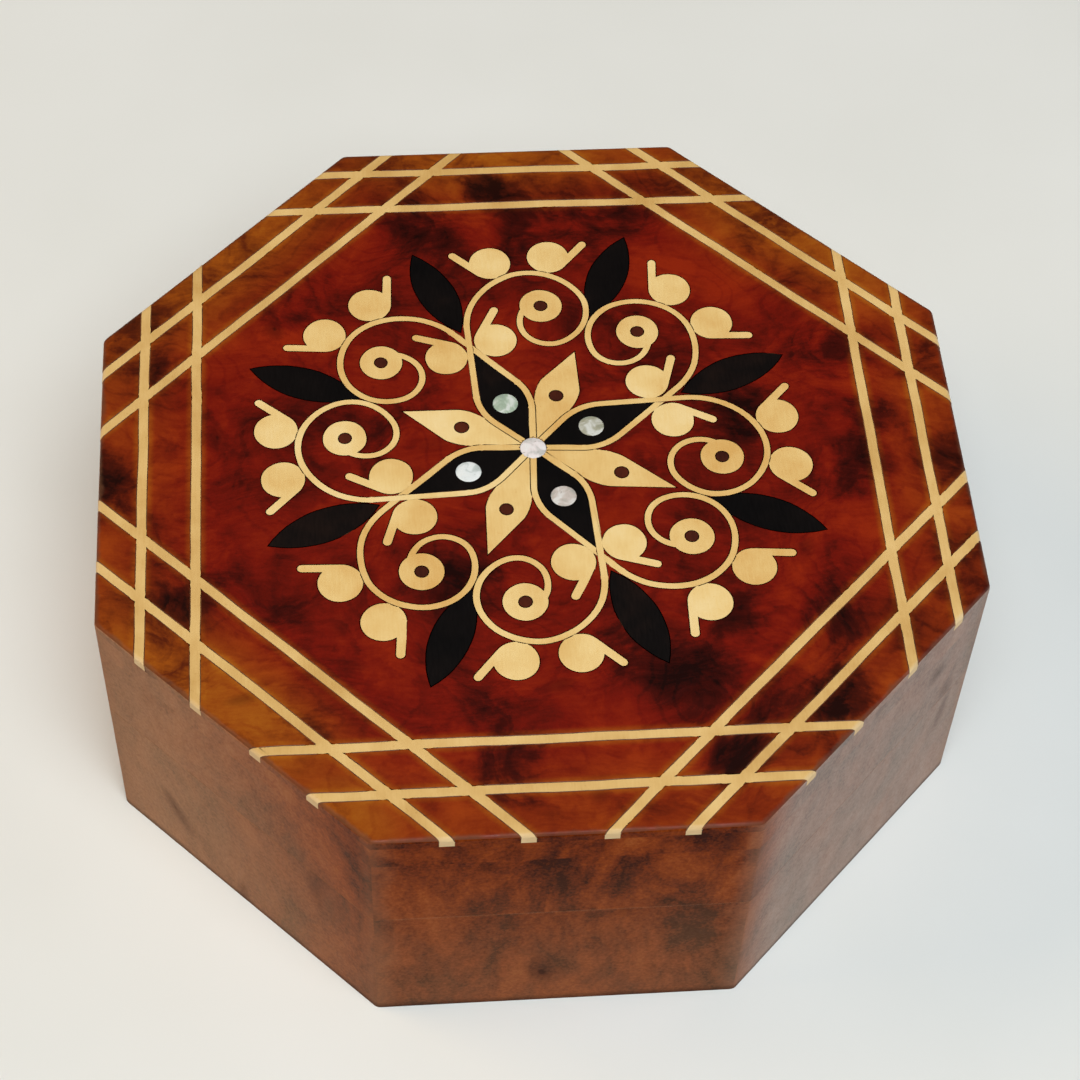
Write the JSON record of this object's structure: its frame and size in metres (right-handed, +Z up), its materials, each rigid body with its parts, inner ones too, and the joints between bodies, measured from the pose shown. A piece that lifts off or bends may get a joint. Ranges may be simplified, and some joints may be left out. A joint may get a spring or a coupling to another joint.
{
  "type": "jewelry box",
  "caption": "Octagonal wooden jewelry box with a hinged lid, its top inlaid with a traditional rosette of curling sprays, petals and leaves inside a border of crossing pale strings.",
  "frame": {"origin": "centre of the underside, where the box rests on a table", "axes": "+X to the right, +Y towards the hinges at the back, +Z up"},
  "size_m": [0.12, 0.12, 0.045],
  "materials": {
    "thuya_sides": "satin varnish",
    "thuya_top": "gloss varnish",
    "lemonwood": "satin varnish",
    "ebony": "satin varnish",
    "mother_of_pearl": "polished",
    "brass": "worn satin",
    "felt": "matte"
  },
  "bodies": {
    "box_body": {"body_wall_front": "thuya_sides", "body_wall_front_right": "thuya_sides", "body_wall_right": "thuya_sides", "body_wall_back_right": "thuya_sides", "body_wall_back": "thuya_sides", "body_wall_back_left": "thuya_sides", "body_wall_left": "thuya_sides", "body_wall_front_left": "thuya_sides", "base_board": "thuya_sides", "felt_floor": "felt", "hinge_left_body_leaf": "brass", "hinge_left_body_screw_1": "brass", "hinge_left_body_screw_2": "brass", "hinge_left_pin": "brass", "hinge_right_body_leaf": "brass", "hinge_right_body_screw_1": "brass", "hinge_right_body_screw_2": "brass", "hinge_right_pin": "brass"},
    "lid": {"lid_wall_front": "thuya_sides", "lid_wall_front_right": "thuya_sides", "lid_wall_right": "thuya_sides", "lid_wall_back_right": "thuya_sides", "lid_wall_back": "thuya_sides", "lid_wall_back_left": "thuya_sides", "lid_wall_left": "thuya_sides", "lid_wall_front_left": "thuya_sides", "lid_top_board": "thuya_top", "border_strings": "lemonwood", "lemonwood_spray_1": "lemonwood", "ebony_petal_1": "ebony", "pearl_dot_1": "mother_of_pearl", "lemonwood_petal_1": "lemonwood", "ebony_leaf_1": "ebony", "ebony_side_leaf_1": "ebony", "lemonwood_spray_2": "lemonwood", "ebony_petal_2": "ebony", "pearl_dot_2": "mother_of_pearl", "lemonwood_petal_2": "lemonwood", "ebony_leaf_2": "ebony", "ebony_side_leaf_2": "ebony", "lemonwood_spray_3": "lemonwood", "ebony_petal_3": "ebony", "pearl_dot_3": "mother_of_pearl", "lemonwood_petal_3": "lemonwood", "ebony_leaf_3": "ebony", "ebony_side_leaf_3": "ebony", "lemonwood_spray_4": "lemonwood", "ebony_petal_4": "ebony", "pearl_dot_4": "mother_of_pearl", "lemonwood_petal_4": "lemonwood", "ebony_leaf_4": "ebony", "ebony_side_leaf_4": "ebony", "pearl_dot_centre": "mother_of_pearl", "hinge_left_lid_leaf": "brass", "hinge_left_lid_screw_1": "brass", "hinge_left_lid_screw_2": "brass", "hinge_right_lid_leaf": "brass", "hinge_right_lid_screw_1": "brass", "hinge_right_lid_screw_2": "brass"}
  },
  "joints": [
    {"name": "lid_hinge", "type": "hinge", "parent": "box_body", "child": "lid", "pos_m": [0, 0.05861, 0.025], "axis": [-1, 0, 0], "range_deg": [0, 100]}
  ]
}
